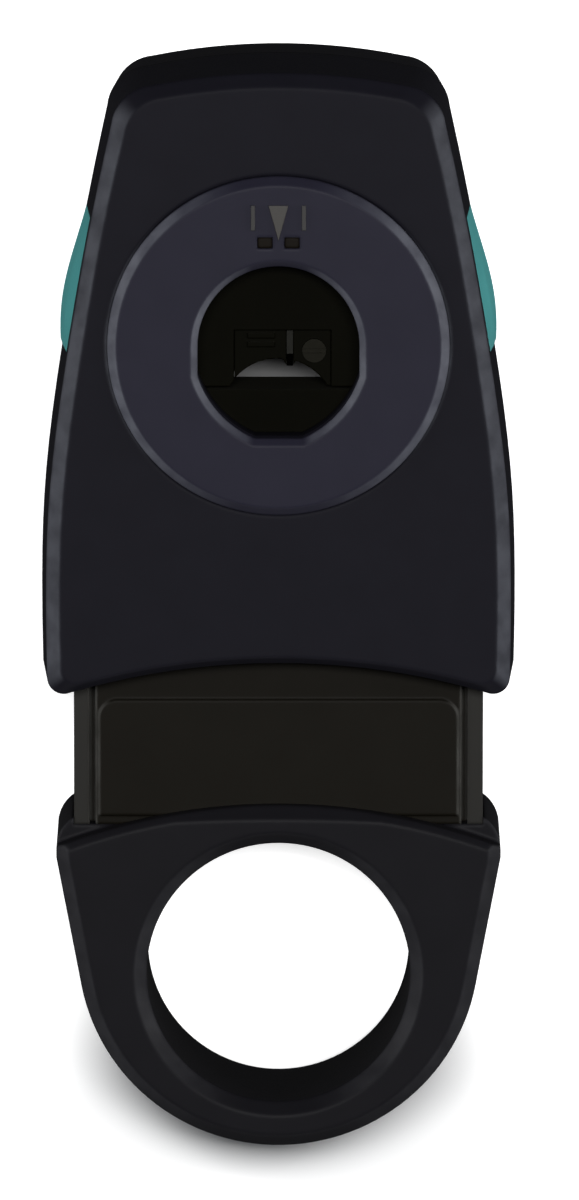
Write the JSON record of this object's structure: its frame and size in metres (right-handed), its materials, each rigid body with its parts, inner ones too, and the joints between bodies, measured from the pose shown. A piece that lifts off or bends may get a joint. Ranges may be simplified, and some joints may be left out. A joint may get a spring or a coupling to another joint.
{
  "type": "cable stripper",
  "caption": "Pocket cable stripper: tapered housing with a round guide disc and cable hole, sprung jaws worked by pushing a finger ring, blades inside, soft side grips.",
  "frame": {"origin": "middle of the tool's length and width, on its back face, ring drawn out to rest", "axes": "+X to the right seen from the front, +Y from the finger ring towards the head, +Z out of the front face"},
  "size_m": [0.046, 0.1062, 0.0248],
  "materials": {
    "housing_plastic": "fine texture",
    "disc_plastic": "fine texture",
    "mark_plastic": "plain",
    "grip_rubber": "soft, satin",
    "stem_plastic": "fine texture",
    "jaw_plastic": "satin",
    "steel": "ground",
    "screw_steel": "zinc plated",
    "blade_steel": "ground edge",
    "spring_steel": "drawn wire"
  },
  "bodies": {
    "housing": {"front_shell": "housing_plastic", "rear_shell": "housing_plastic", "guide_disc": "disc_plastic", "disc_mark": "mark_plastic", "grip_insert_left": "grip_rubber", "grip_insert_right": "grip_rubber", "anvil_jaw": "jaw_plastic", "anvil_pins": "steel", "spring_guide_rods": "steel", "housing_screws": "screw_steel", "return_spring_left": "spring_steel", "return_spring_right": "spring_steel"},
    "slider": {"slider_frame": "stem_plastic", "finger_ring": "housing_plastic", "ring_pins": "steel", "clamp_jaw": "jaw_plastic", "jaw_screws": "screw_steel", "blade_carrier": "jaw_plastic", "slitting_blade": "blade_steel", "blade_screw": "screw_steel", "cross_cut_blade": "blade_steel", "blade_clamp_plate": "steel", "clamp_plate_screws": "screw_steel"}
  },
  "joints": [
    {"name": "ring_push", "type": "slide", "parent": "housing", "child": "slider", "axis": [0, 1, 0], "range_m": [0, 0.01], "stiffness_N_per_m": 900, "springref_m": -0.006, "deforming": ["return_spring_left", "return_spring_right"]}
  ]
}
